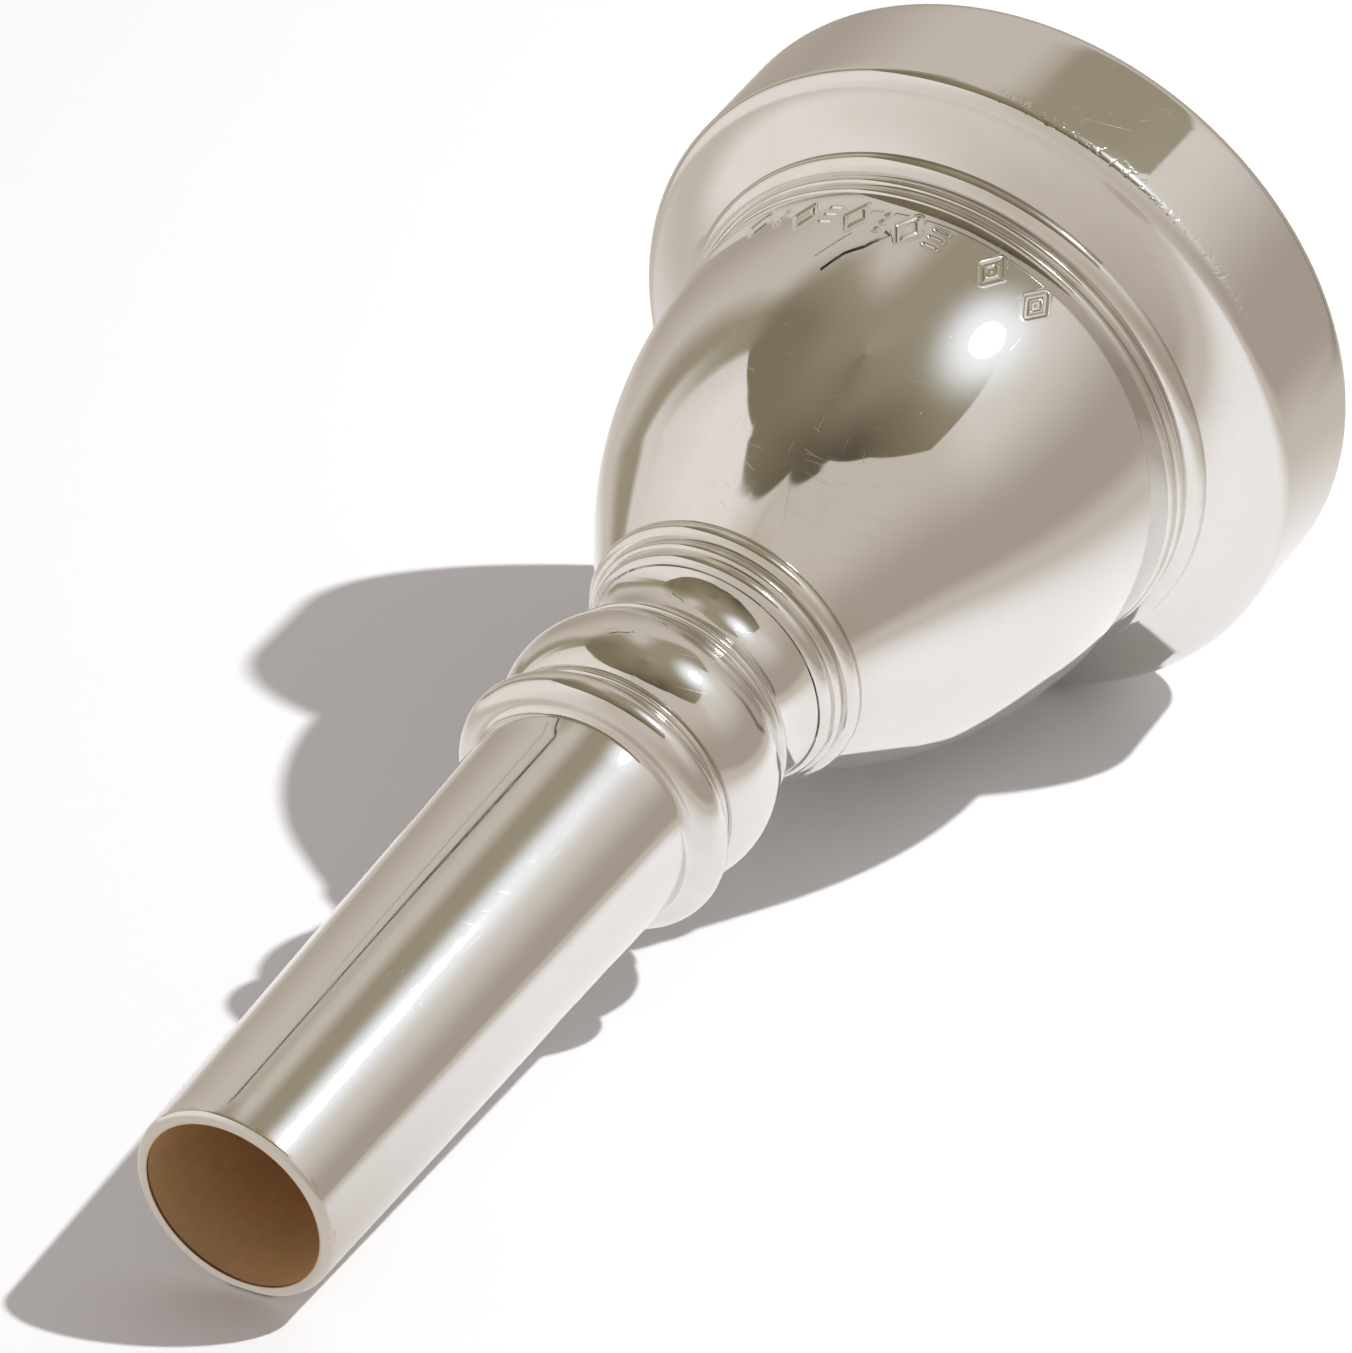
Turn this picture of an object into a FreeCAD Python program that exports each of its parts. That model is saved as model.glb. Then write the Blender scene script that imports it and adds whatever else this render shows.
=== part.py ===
"""Tuba mouthpiece: one turned brass body under a skin of silver plate.

The outline is drawn once, as a string of points from the bore's edge at the shank end, along the
outside to the rim and down the cup to the start of the throat. The plate is a band of even thickness
along that string. The brass is what the plate leaves of the turned blank, and is bare in the throat
and the backbore. Both lie down together as the mouthpiece rests on a table: on the rim's lower edge
and on the end of the shank.
"""
import FreeCAD, Part
import math
import os
from FreeCAD import Placement, Rotation, Vector
from Sketcher import Constraint

# Driving sizes in millimetres. Widths and lengths run along the mouthpiece's own axis.
SIZES = {
    # shank and bore
    "shank_length": 39.2,
    "shank_end_diameter": 13.3,
    "shank_taper": 0.05,             # growth in diameter for each millimetre of length
    "shank_end_round": 0.4,
    "bore_end_diameter": 11.74,
    "bore_end_land": 0.6,            # short straight stretch of the bore at the shank end
    "throat_diameter": 8.2,
    "throat_length": 7.35,
    # collar, fine rings, bead and neck
    "fillet_width": 0.55,
    "fillet_height": 0.48,
    "fillet_hollow": 0.12,
    "collar_width": 2.8,
    "collar_height": 1.19,
    "collar_ring_diameter": 16.2,    # fine rings between the collar and the bead
    "fine_ring_width": 0.5,
    "fine_ring_crown": 0.16,
    "bead_diameter": 16.8,           # at the bead's near edge
    "bead_end_diameter": 16.66,      # at its far edge
    "bead_width": 6.3,
    "bead_height": 0.94,
    "neck_ring_diameter": 16.2,      # fine rings between the bead and the neck
    "neck_start_diameter": 15.6,
    "neck_end_diameter": 16.1,
    "neck_width": 4.15,
    "neck_hollow": 0.6,
    # three rings that step up to the cup
    "step_one_diameter": 16.4,
    "step_one_width": 0.95,
    "step_one_rise": 0.35,
    "step_two_diameter": 17.5,
    "step_two_width": 0.75,
    "step_three_diameter": 18.4,
    "step_three_width": 1.15,
    "step_three_rise": 0.25,
    "step_crown": 0.2,
    "step_three_crown": 0.3,
    # cup, outside
    "cup_foot_diameter": 19.2,
    "cup_cone_length": 5.5,
    "cup_knee_diameter": 25.6,
    "cup_belly_length": 20.35,
    "cup_belly_swell": 1.51,
    "cup_top_diameter": 35.4,
    # rings and hollow shoulder under the rim
    "rim_ring_width": 0.8,
    "rim_ring_crown": 0.16,
    "rim_ring_step": 0.25,
    "cove_ring_width": 1.15,
    "cove_ring_crown": 0.28,
    "cove_ring_rise": 0.85,
    "shoulder_length": 1.9,
    "shoulder_hollow": 0.25,
    # rim
    "rim_diameter": 47.2,
    "rim_corner_round": 1.2,
    "band_width": 7.55,
    "rim_crest_length": 0.192,       # along the axis, from the corner's end to the inner edge
    "rim_crest_swell": 0.61,
    "rim_edge_length": 0.75,
    "rim_edge_width": 0.52,
    "rim_edge_swell": 0.14,
    # cup, inside
    "cup_diameter": 32.5,
    "bowl_depth": 35.63,
    "bowl_hollow": 2.75,
    "bowl_foot_diameter": 11.0,
    "throat_round_length": 4.65,
    "throat_round_swell": 0.36,
    # silver
    "plate_thickness": 0.1,
}
# The rounds at the rim's corners end where the shoulder and the crest meet them. These are the
# parts of a full quarter round that are left, along the axis and across it.
CORNER_BACK = (0.986, 0.833)
CORNER_FRONT = (0.908, 0.592)

doc = FreeCAD.newDocument("mouthpiece")
sheet = doc.addObject("Spreadsheet::Sheet", "sizes")
for row, (alias, number) in enumerate(SIZES.items(), start=1):
    sheet.set("A%d" % row, alias)
    sheet.set("B%d" % row, str(number))
    sheet.setAlias("B%d" % row, alias)
doc.recompute()


class Length:
    """A length known twice: as an expression on the sheet and as its present value."""

    def __init__(self, text, value):
        self.text = text
        self.value = value

    @staticmethod
    def of(other):
        return other if isinstance(other, Length) else Length(repr(float(other)), float(other))

    def __add__(self, other):
        other = Length.of(other)
        return Length("(%s + %s)" % (self.text, other.text), self.value + other.value)

    def __sub__(self, other):
        other = Length.of(other)
        return Length("(%s - %s)" % (self.text, other.text), self.value - other.value)

    def __mul__(self, other):
        other = Length.of(other)
        return Length("(%s * %s)" % (self.text, other.text), self.value * other.value)

    def __truediv__(self, other):
        other = Length.of(other)
        return Length("(%s / %s)" % (self.text, other.text), self.value / other.value)


def size(alias):
    return Length("sizes." + alias, float(getattr(sheet, alias)))


def radius(alias):
    return size(alias) / 2


class Outline:
    """The turned outline, point by point, with the metal always on the right of the way along it.

    Each stretch leads to a new point: a step along the axis from the last one (None for a straight
    face) and a radius (None for a plain cylinder). A stretch with an arc radius is an arc. It
    stands out from the metal if side is 1 and is hollowed into it if side is -1.
    """

    def __init__(self, start_radius):
        self.start = start_radius
        self.along = 0.0
        self.across = start_radius
        self.stretches = []
        self.rounds = {}

    def line(self, step, to_radius, back=False):
        self.add(step, to_radius, back, None, 0)

    def arc(self, step, to_radius, arc_radius, back=False):
        """An arc of a given radius that stands out from the metal."""
        self.add(step, to_radius, back, arc_radius, 1)

    def swell(self, step, to_radius, height, back=False):
        """An arc that stands out from its chord by a given height."""
        self.add(step, to_radius, back, self.bow(step, to_radius, height), 1)

    def hollow(self, step, to_radius, depth, back=False):
        """An arc that falls in from its chord by a given depth."""
        self.add(step, to_radius, back, self.bow(step, to_radius, depth), -1)

    def rests_on(self, name, round_radius):
        """Note the centre and radius of the round at the last point, where the part can lie."""
        self.rounds[name] = (self.along, self.across.value - round_radius.value, round_radius.value)

    def bow(self, step, to_radius, height):
        """The radius of an arc with a given height over the chord to the next point."""
        across = to_radius - self.across
        return (step * step + across * across) / (height * 8) + height / 2

    def add(self, step, to_radius, back, arc_radius, side):
        if step is not None:
            self.along += -step.value if back else step.value
        if to_radius is not None:
            self.across = to_radius
        point = Vector(self.along, self.across.value, 0)
        self.stretches.append((step, to_radius, back, arc_radius, side, point))


def draw(sketch, outline, close):
    """Draw the outline into a sketch and bind every size of it to the sheet.

    With close set, the throat and the backbore lead back from the last point to the first.
    """
    def bind(kind, *where, length):
        number = sketch.addConstraint(Constraint(kind, *where, length.value))
        sketch.setExpression("Constraints[%d]" % number, length.text)

    last_point = Vector(0, outline.start.value, 0)
    last_end = None
    first_end = None
    for step, to_radius, back, arc_radius, side, point in outline.stretches:
        if arc_radius is None:
            edge = sketch.addGeometry(Part.LineSegment(last_point, point), False)
            start, end = (edge, 1), (edge, 2)
        else:
            chord = point - last_point
            rise = arc_radius.value - math.sqrt(max(arc_radius.value ** 2 - chord.Length ** 2 / 4, 0))
            left = Vector(-chord.y, chord.x, 0).normalize()
            middle = (last_point + point) * 0.5 + left * (side * rise)
            edge = sketch.addGeometry(Part.Arc(last_point, middle, point), False)
            forward = sketch.getPoint(edge, 1).distanceToPoint(last_point) < 1e-6
            start, end = ((edge, 1), (edge, 2)) if forward else ((edge, 2), (edge, 1))
            bind("Radius", edge, length=arc_radius)
        if last_end is None:
            first_end = start
            sketch.addConstraint(Constraint("PointOnObject", *start, -2))
            bind("DistanceY", -1, 1, *start, length=outline.start)
        else:
            sketch.addConstraint(Constraint("Coincident", *last_end, *start))
        if step is None:
            sketch.addConstraint(Constraint("Vertical", edge))
        elif back:
            bind("DistanceX", *end, *start, length=step)
        else:
            bind("DistanceX", *start, *end, length=step)
        if to_radius is None:
            sketch.addConstraint(Constraint("Horizontal", edge))
        else:
            bind("DistanceY", -1, 1, *end, length=to_radius)
        last_point, last_end = point, end
    if not close:
        return
    throat = size("throat_length")
    land = size("bore_end_land")
    foot = last_point - Vector(throat.value, 0, 0)
    corner = Vector(land.value, outline.start.value, 0)
    bore_edge = Vector(0, outline.start.value, 0)
    walls = [sketch.addGeometry(Part.LineSegment(start, end), False)
             for start, end in ((last_point, foot), (foot, corner), (corner, bore_edge))]
    sketch.addConstraint(Constraint("Coincident", *last_end, walls[0], 1))
    sketch.addConstraint(Constraint("Coincident", walls[0], 2, walls[1], 1))
    sketch.addConstraint(Constraint("Coincident", walls[1], 2, walls[2], 1))
    sketch.addConstraint(Constraint("Coincident", walls[2], 2, *first_end))
    for straight, length in ((walls[0], throat), (walls[2], land)):
        sketch.addConstraint(Constraint("Horizontal", straight))
        bind("DistanceX", straight, 2, straight, 1, length=length)


def turned_outline():
    """The mouthpiece's outline from the bore's edge at the shank end to the start of the throat."""
    shank_start = radius("shank_end_diameter")
    end_round = size("shank_end_round")
    shank_run = size("shank_length") - end_round
    shank_top = shank_start + shank_run * size("shank_taper") / 2
    line = Outline(radius("bore_end_diameter"))

    # shank
    line.line(None, shank_start - end_round)
    line.arc(end_round, shank_start, end_round)
    line.rests_on("shank", end_round)
    line.line(shank_run, shank_top)

    # collar, fine rings, bead, fine rings, neck
    line.hollow(size("fillet_width"), shank_top + size("fillet_height"), size("fillet_hollow"))
    line.swell(size("collar_width"), radius("collar_ring_diameter"), size("collar_height"))
    for _ in range(2):
        line.swell(size("fine_ring_width"), radius("collar_ring_diameter"), size("fine_ring_crown"))
    line.line(None, radius("bead_diameter"))
    line.swell(size("bead_width"), radius("bead_end_diameter"), size("bead_height"))
    line.line(None, radius("neck_ring_diameter"))
    for _ in range(2):
        line.swell(size("fine_ring_width"), radius("neck_ring_diameter"), size("fine_ring_crown"))
    line.line(None, radius("neck_start_diameter"))
    line.hollow(size("neck_width"), radius("neck_end_diameter"), size("neck_hollow"))

    # three rings that step up to the cup
    line.line(None, radius("step_one_diameter"))
    line.swell(size("step_one_width"), radius("step_one_diameter") + size("step_one_rise"),
               size("step_crown"))
    line.line(None, radius("step_two_diameter"))
    line.swell(size("step_two_width"), radius("step_two_diameter"), size("step_crown"))
    line.line(None, radius("step_three_diameter"))
    line.swell(size("step_three_width"), radius("step_three_diameter") + size("step_three_rise"),
               size("step_three_crown"))

    # cup, outside
    line.line(None, radius("cup_foot_diameter"))
    line.line(size("cup_cone_length"), radius("cup_knee_diameter"))
    line.swell(size("cup_belly_length"), radius("cup_top_diameter"), size("cup_belly_swell"))

    # rings and hollow shoulder under the rim
    ring = radius("cup_top_diameter")
    line.swell(size("rim_ring_width"), ring, size("rim_ring_crown"))
    ring = ring + size("rim_ring_step")
    line.line(None, ring)
    line.swell(size("rim_ring_width"), ring, size("rim_ring_crown"))
    ring = ring + size("rim_ring_step")
    line.line(None, ring)
    line.swell(size("cove_ring_width"), ring + size("cove_ring_rise"), size("cove_ring_crown"))
    rim = radius("rim_diameter")
    corner = size("rim_corner_round")
    line.hollow(size("shoulder_length"), rim - corner * CORNER_BACK[1], size("shoulder_hollow"))

    # rim
    line.arc(corner * CORNER_BACK[0], rim, corner)
    line.rests_on("rim", corner)
    line.line(size("band_width"), None)
    line.arc(corner * CORNER_FRONT[0], rim - corner * CORNER_FRONT[1], corner)
    line.swell(size("rim_crest_length"), radius("cup_diameter") + size("rim_edge_width"),
               size("rim_crest_swell"))
    line.swell(size("rim_edge_length"), radius("cup_diameter"), size("rim_edge_swell"), back=True)

    # cup, inside
    line.hollow(size("bowl_depth"), radius("bowl_foot_diameter"), size("bowl_hollow"), back=True)
    line.swell(size("throat_round_length"), radius("throat_diameter"), size("throat_round_swell"),
               back=True)
    return line


outline = turned_outline()

# Brass blank, turned in one piece.
blank = doc.addObject("PartDesign::Body", "blank")
plane = next(p for p in blank.Origin.OriginFeatures if p.Role == "XY_Plane")
section = blank.newObject("Sketcher::SketchObject", "blank_section")
section.AttachmentSupport = [(plane, "")]
section.MapMode = "FlatFace"
draw(section, outline, close=True)
turning = blank.newObject("PartDesign::Revolution", "turning")
turning.Profile = section
turning.ReferenceAxis = (section, ["H_Axis"])
turning.Angle = 360
blank.Tip = turning

# Silver: a band of even thickness inside the outline, swept round the same axis.
skin = doc.addObject("Sketcher::SketchObject", "skin_outline")
draw(skin, outline, close=False)
doc.recompute()
band = doc.addObject("Part::Offset2D", "skin_band")
band.Source = skin
band.Mode = "Skin"
band.Join = "Arc"
band.Fill = True
band.setExpression("Value", "sizes.plate_thickness")
plate = doc.addObject("Part::Revolution", "silver_plate")
plate.Source = band
plate.Axis = Vector(1, 0, 0)
plate.Base = Vector(0, 0, 0)
plate.Angle = 360
plate.Solid = True

# Lying down: the table touches the round on the shank's end and the round on the rim's near corner.
# The tilt brings both rounds to the same height, then the lowest point goes to z = 0.
shank_along, shank_across, shank_round = outline.rounds["shank"]
rim_along, rim_across, rim_round = outline.rounds["rim"]
run = rim_along - shank_along
climb = rim_across - shank_across
tilt = math.atan2(climb, run) + math.asin((rim_round - shank_round) / math.hypot(run, climb))
lift = shank_across * math.cos(tilt) + shank_round - shank_along * math.sin(tilt)
rest = Placement(Vector(0, 0, lift), Rotation(Vector(0, 1, 0), -math.degrees(tilt)))
doc.recompute()
lying = plate.Shape.copy()
lying.Placement = rest
box = lying.optimalBoundingBox(False, False)
rest.Base.x = -(box.XMin + box.XMax) / 2
blank.Placement = rest
plate.Placement = rest

# Brass: what the plate leaves of the blank.
brass = doc.addObject("Part::Cut", "brass_body")
brass.Base = blank
brass.Tool = plate
doc.recompute()

for item in doc.Objects:
    if "Invalid" in item.State or "Error" in item.State:
        raise SystemExit("%s did not build: %s" % (item.Label, item.State))

os.makedirs("parts", exist_ok=True)
for part in (brass, plate):
    shape = part.Shape
    if shape.isNull() or not shape.isValid() or len(shape.Solids) != 1:
        raise SystemExit("%s is not one sound solid" % part.Label)
    shape.exportStep("parts/%s.step" % part.Label)

print("tilt %.3f degrees" % math.degrees(tilt))
for part in (brass, plate):
    box = part.Shape.optimalBoundingBox(False, False)
    print("%s: volume %.1f mm3, x %.3f to %.3f, y %.3f to %.3f, z %.3f to %.3f" % (
        part.Label, part.Shape.Volume, box.XMin, box.XMax, box.YMin, box.YMax, box.ZMin, box.ZMax))
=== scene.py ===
"""A silver-plated tuba mouthpiece lying on its side on a white table.

The turned outline is worked out once, in millimetres along and away from the mouthpiece's own axis.
The silver plate and the brass under it are both swept from it, then dressed and lit.
"""
import logging
import math
from dataclasses import dataclass, field
from enum import Enum

import bmesh
import bpy
import numpy as np
from mathutils import Matrix, Vector


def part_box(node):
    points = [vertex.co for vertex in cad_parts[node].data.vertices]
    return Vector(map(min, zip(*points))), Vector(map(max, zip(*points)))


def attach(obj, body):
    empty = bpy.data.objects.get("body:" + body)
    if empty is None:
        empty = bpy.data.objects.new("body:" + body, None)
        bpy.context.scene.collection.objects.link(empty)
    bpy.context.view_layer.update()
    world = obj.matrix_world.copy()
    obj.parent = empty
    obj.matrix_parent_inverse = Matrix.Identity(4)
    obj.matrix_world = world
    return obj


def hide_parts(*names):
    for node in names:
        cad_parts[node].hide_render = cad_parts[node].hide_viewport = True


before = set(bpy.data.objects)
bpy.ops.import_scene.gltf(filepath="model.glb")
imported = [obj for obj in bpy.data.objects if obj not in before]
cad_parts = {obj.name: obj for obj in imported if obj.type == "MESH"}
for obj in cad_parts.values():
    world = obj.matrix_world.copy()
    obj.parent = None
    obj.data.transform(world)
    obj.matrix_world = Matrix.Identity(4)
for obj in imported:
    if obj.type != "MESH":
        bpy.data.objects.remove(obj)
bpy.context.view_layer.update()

MM = 0.001
log = logging.getLogger("mouthpiece")


class Bow(Enum):
    """How a stretch of the turned outline runs between its two ends."""

    STRAIGHT = 0
    SWELL = 1
    HOLLOW = -1


@dataclass(frozen=True)
class Ring:
    """A turned ring: its radius at both ends, its width and its swell, in mm."""

    start: float
    width: float
    end: float
    swell: float
    cuts: int


@dataclass
class TurnedOutline:
    """The turned outline as a string of points, each along the axis and away from it, in mm."""

    along: float
    radius: float
    points: list[tuple[float, float]] = field(default_factory=list)

    def __post_init__(self) -> None:
        """Start the string at the first point."""
        self.points.append((self.along, self.radius))

    def go(self, step: float, radius: float, bow: Bow = Bow.STRAIGHT, height: float = 0.0,
           cuts: int = 1, fine: tuple[float, int] | None = None) -> "TurnedOutline":
        """Lead the outline to its next point.

        Args:
            step: How far the point lies along the axis from the last one, in mm.
            radius: The point's distance from the axis, in mm.
            bow: Straight, standing out of the metal or hollowed into it.
            height: The bow's height over the chord, in mm.
            cuts: The number of short straight pieces that the stretch is made of.
            fine: The share of the stretch that comes first in those cuts, and the number of
                finer cuts in the rest of it.

        Returns:
            The same outline, so that calls can be chained.
        """
        start = Vector((self.along, self.radius))
        end = Vector((self.along + step, radius))
        chord = end - start
        shares = [cut / cuts for cut in range(1, cuts + 1)]
        if fine:
            first, extra = fine
            shares = [share * first for share in shares]
            shares += [first + (1 - first) * cut / extra for cut in range(1, extra + 1)]
        if bow is Bow.STRAIGHT:
            self.points.extend(tuple(start + chord * share) for share in shares)
        else:
            self.points.extend(self._arc(start, end, bow.value, height, shares))
        self.along, self.radius = end
        return self

    def turn(self, rings: tuple[Ring, ...]) -> None:
        """Lead the outline over some rings, with a plain step up or down to each one."""
        for ring in rings:
            if abs(self.radius - ring.start) > 1e-4:
                self.go(0.0, ring.start)
            self.go(ring.width, ring.end, Bow.SWELL, ring.swell, ring.cuts)

    @staticmethod
    def _arc(start: Vector, end: Vector, side: int, height: float,
             shares: list[float]) -> list[tuple[float, float]]:
        """The points of an arc, without its first one.

        Args:
            start: The arc's first point.
            end: Its last point.
            side: 1 to stand out to the left of the way, -1 to fall in to the right of it.
            height: The arc's height over its chord.
            shares: How far round the arc each point lies, from 0 to 1.

        Returns:
            The points after the first.
        """
        chord = end - start
        half = chord.length / 2
        arc_radius = half * half / (2 * height) + height / 2
        left = Vector((-chord.y, chord.x)).normalized() * side
        centre = (start + end) / 2 - left * (arc_radius - height)
        spread = math.asin(min(1.0, half / arc_radius))
        if height > arc_radius:
            spread = math.pi - spread
        forward = chord.normalized()
        points = []
        for share in shares:
            angle = spread * (2 * share - 1)
            points.append(tuple(centre + left * (arc_radius * math.cos(angle))
                                + forward * (arc_radius * math.sin(angle))))
        return points


FINE_RING = Ring(8.1, 0.5, 8.1, 0.16, 8)


@dataclass(frozen=True)
class MouthpieceSizes:
    """The mouthpiece's driving sizes in millimetres, the same as the CAD model's."""

    shank_length: float = 39.2
    shank_end: float = 6.65
    shank_slope: float = 0.025
    end_round: float = 0.4
    bore_end: float = 5.87
    bore_land: float = 0.6
    throat: float = 4.1
    throat_length: float = 7.35
    rim: float = 23.6
    rim_corner: float = 1.2
    band_width: float = 7.55
    cup_edge: float = 16.25
    bowl_depth: float = 35.63
    bowl_hollow: float = 2.75
    bowl_foot: float = 5.5
    throat_round: float = 4.65
    throat_swell: float = 0.36
    plate: float = 0.1
    collar_foot: tuple[float, float, float] = (0.55, 0.48, 0.12)
    collar_width: float = 2.8
    collar_swell: float = 1.19
    bead_rings: tuple[Ring, ...] = (FINE_RING, FINE_RING, Ring(8.4, 6.3, 8.33, 0.94, 32), FINE_RING,
                                    FINE_RING)
    neck_start: float = 7.8
    neck_end: float = 8.05
    neck_width: float = 4.15
    neck_hollow: float = 0.6
    cup_rings: tuple[Ring, ...] = (Ring(8.2, 0.95, 8.55, 0.2, 12), Ring(8.75, 0.75, 8.75, 0.2, 12),
                                   Ring(9.2, 1.15, 9.45, 0.3, 16))
    cup_foot: Ring = Ring(9.6, 5.5, 12.8, 0.03, 12)
    belly_width: float = 20.35
    belly_top: float = 17.7
    belly_swell: float = 1.51
    rim_rings: tuple[Ring, ...] = (Ring(17.7, 0.8, 17.7, 0.16, 10), Ring(17.95, 0.8, 17.95, 0.16, 10),
                                   Ring(18.2, 1.15, 19.05, 0.28, 14))
    shoulder_width: float = 1.9
    shoulder_hollow: float = 0.25
    crest_width: float = 0.192
    crest_swell: float = 0.61
    crest_end: float = 0.52
    cup_lip: tuple[float, float] = (0.75, 0.14)

    def outside(self, marked: bool = False) -> TurnedOutline:
        """The outline from the bore's edge at the shank end to the rim's inner edge.

        Args:
            marked: Whether the top of the cup is cut finely enough for the stamped marks.

        Returns:
            The outline.
        """
        line = TurnedOutline(0.0, self.bore_end)
        run = self.shank_length - self.end_round
        shank_top = self.shank_end + run * self.shank_slope
        # shank
        line.go(0.0, self.shank_end - self.end_round)
        line.go(self.end_round, self.shank_end, Bow.SWELL, self.end_round * 0.293, 8)
        line.go(run, shank_top, cuts=24)
        # collar, fine rings, bead, fine rings, neck
        step, rise, hollow = self.collar_foot
        line.go(step, shank_top + rise, Bow.HOLLOW, hollow, 8)
        line.go(self.collar_width, FINE_RING.start, Bow.SWELL, self.collar_swell, 32)
        line.turn(self.bead_rings)
        line.go(0.0, self.neck_start)
        line.go(self.neck_width, self.neck_end, Bow.HOLLOW, self.neck_hollow, 24)
        # three rings that step up to the cup, and the cup
        line.turn((*self.cup_rings, self.cup_foot))
        fine = (0.77, 58) if marked else (0.77, 6)
        line.go(self.belly_width, self.belly_top, Bow.SWELL, self.belly_swell, 36, fine)
        # rings and hollow shoulder under the rim
        line.turn(self.rim_rings)
        corner = self.rim_corner
        line.go(self.shoulder_width, self.rim - corner * 0.833, Bow.HOLLOW, self.shoulder_hollow, 16)
        # rim
        line.go(corner * 0.986, self.rim, Bow.SWELL, self._rise(corner * 0.986, corner * 0.833), 12)
        line.go(self.band_width, self.rim, cuts=8)
        line.go(corner * 0.908, self.rim - corner * 0.592, Bow.SWELL,
                self._rise(corner * 0.908, corner * 0.592), 12)
        line.go(self.crest_width, self.cup_edge + self.crest_end, Bow.SWELL, self.crest_swell, 28)
        line.go(-self.cup_lip[0], self.cup_edge, Bow.SWELL, self.cup_lip[1], 10)
        return line

    def _rise(self, across: float, away: float) -> float:
        """The height over its chord of an arc with the rim's corner radius."""
        half = math.hypot(across, away) / 2
        return self.rim_corner - math.sqrt(self.rim_corner ** 2 - half * half)

    def plated(self, marked: bool = False) -> TurnedOutline:
        """The plate's whole skin, from the bore's edge over the rim to the start of the throat.

        Args:
            marked: Whether the top of the cup is cut finely enough for the stamped marks.

        Returns:
            The outline.
        """
        line = self.outside(marked)
        line.go(-self.bowl_depth, self.bowl_foot, Bow.HOLLOW, self.bowl_hollow, 48)
        line.go(-self.throat_round, self.throat, Bow.SWELL, self.throat_swell, 12)
        return line

    def rest_tilt(self) -> float:
        """The angle at which the axis climbs when the rim and the shank end lie on a table."""
        line = self.outside()
        band = max(a for a, r in line.points if abs(r - self.rim) < 1e-4) - self.band_width
        run = band - self.end_round
        climb = (self.rim - self.rim_corner) - (self.shank_end - self.end_round)
        return math.atan2(climb, run) + math.asin(
            (self.rim_corner - self.end_round) / math.hypot(run, climb))


class Stamp(Enum):
    """The plain ornaments that are stamped into the cup, as strokes in a unit square."""

    LOZENGE = (((0.0, 0.5), (0.27, 0.0)), ((0.27, 0.0), (0.0, -0.5)), ((0.0, -0.5), (-0.27, 0.0)),
               ((-0.27, 0.0), (0.0, 0.5)))
    SMALL_LOZENGE = (((0.0, 0.15), (0.08, 0.0)), ((0.08, 0.0), (0.0, -0.15)),
                     ((0.0, -0.15), (-0.08, 0.0)), ((-0.08, 0.0), (0.0, 0.15)))
    DOTS = (((0.0, 0.3), (0.0, 0.3)), ((0.0, 0.0), (0.0, 0.0)), ((0.0, -0.3), (0.0, -0.3)))
    DASHES = (((-0.14, 0.3), (0.14, 0.3)), ((-0.14, 0.0), (0.14, 0.0)), ((-0.14, -0.3), (0.14, -0.3)))


@dataclass(frozen=True)
class StampedMarks:
    """Two short rows of ornaments, punched round the top of the cup."""

    along: float = 80.9
    radius: float = 17.73
    height: float = 2.7
    groove: float = 0.21
    depth: float = 0.13
    lip: float = 0.03
    long_row: tuple[float, float] = (30.5, -12.5)
    short_row: tuple[float, float] = (-26.0, -37.5)
    margin: float = 5.0
    pattern: tuple[Stamp, ...] = (Stamp.LOZENGE, Stamp.DOTS, Stamp.LOZENGE, Stamp.DASHES)

    def places(self) -> list[tuple[Stamp, float]]:
        """Each ornament with its angle round the axis, in degrees from straight up."""
        first, last = self.long_row
        count = 8
        row = [(self.pattern[number % len(self.pattern)], first + (last - first) * number / (count - 1))
               for number in range(count)]
        for angle in self.short_row:
            row += [(Stamp.LOZENGE, angle), (Stamp.SMALL_LOZENGE, angle)]
        return row

    def angles(self) -> tuple[float, float]:
        """The first and last angle round the axis that the marks reach, in degrees."""
        return self.short_row[1] - self.margin, self.long_row[0] + self.margin

    def sunk(self, along: np.ndarray, angle: np.ndarray) -> np.ndarray:
        """How far the marks lower the surface, in mm.

        Args:
            along: Places along the axis, in mm.
            angle: Angles round the axis, in degrees.

        Returns:
            The depth at each place, below zero on the raised lips beside the strokes.
        """
        across = np.radians(angle) * self.radius
        nearest = np.full(along.shape, 10.0)
        for stamp, centre in self.places():
            middle = math.radians(centre) * self.radius
            for start, end in stamp.value:
                first = (middle + start[0] * self.height, self.along + start[1] * self.height)
                run = ((end[0] - start[0]) * self.height, (end[1] - start[1]) * self.height)
                length = max(run[0] ** 2 + run[1] ** 2, 1e-9)
                share = ((across - first[0]) * run[0] + (along - first[1]) * run[1]) / length
                share = np.clip(share, 0.0, 1.0)
                off = np.hypot(across - first[0] - share * run[0], along - first[1] - share * run[1])
                nearest = np.minimum(nearest, off)
        fall = np.clip(1.0 - nearest / self.groove, 0.0, 1.0)
        raised = np.clip(1.0 - np.abs(nearest / self.groove - 1.35) / 0.55, 0.0, 1.0)
        return self.depth * fall * fall * (3 - 2 * fall) - self.lip * raised * raised


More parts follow.
